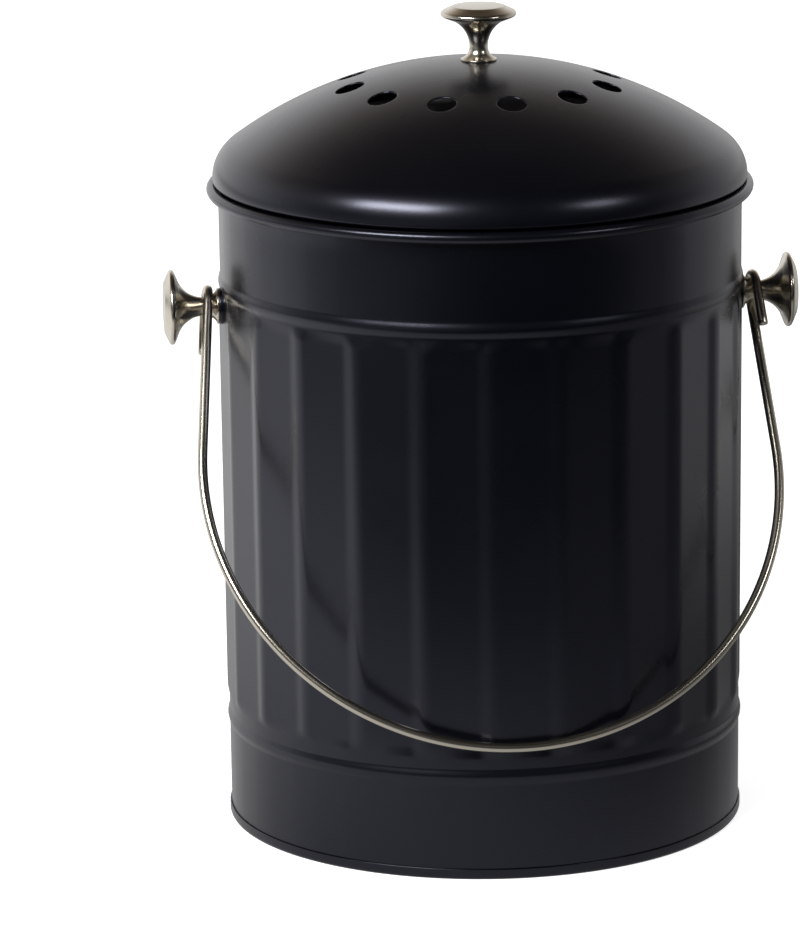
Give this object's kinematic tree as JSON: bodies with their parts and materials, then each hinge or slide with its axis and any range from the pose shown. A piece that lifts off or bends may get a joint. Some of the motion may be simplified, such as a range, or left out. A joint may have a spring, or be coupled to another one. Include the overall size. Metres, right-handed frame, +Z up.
{
  "type": "kitchen compost bin",
  "caption": "Round fluted steel pail for kitchen scraps, with a swinging wire bail on knobs and a lift-off domed lid with vents over a charcoal filter.",
  "frame": {"origin": "on the pail's axis, on the table under its seam ring", "axes": "+Z up along the pail's axis; the two handle knobs on the X axis; the bail rests on the front, -Y"},
  "size_m": [0.2204, 0.1888, 0.2856],
  "materials": {
    "black_coat": "satin powder coat",
    "nickel": "polished nickel plate",
    "zinc_steel": "zinc plate",
    "cup_plastic": "moulded, fine grain",
    "carbon_felt": "needled felt"
  },
  "bodies": {
    "pail": {"pail_wall": "black_coat", "pail_base": "black_coat", "handle_knob_left": "nickel", "handle_knob_right": "nickel", "handle_screws": "zinc_steel", "handle_washers": "zinc_steel"},
    "lid": {"lid_dome": "black_coat", "lid_skirt": "black_coat", "lid_knob": "nickel", "lid_knob_screw": "zinc_steel", "lid_knob_washer": "zinc_steel", "filter_collar": "black_coat"},
    "filter": {"filter_cup": "cup_plastic", "charcoal_filter": "carbon_felt"},
    "bail": {"bail_handle": "nickel"}
  },
  "joints": [
    {"name": "lid_lift", "type": "slide", "parent": "pail", "child": "lid", "axis": [0, 0, 1], "range_m": [0, 0.12]},
    {"name": "bail_swing", "type": "hinge", "parent": "pail", "child": "bail", "pos_m": [0, 0, 0.1828], "axis": [-1, 0, 0], "range_deg": [0, 291.5]},
    {"name": "filter_release", "type": "slide", "parent": "lid", "child": "filter", "axis": [0, 0, -1], "range_m": [0, 0.04]}
  ]
}
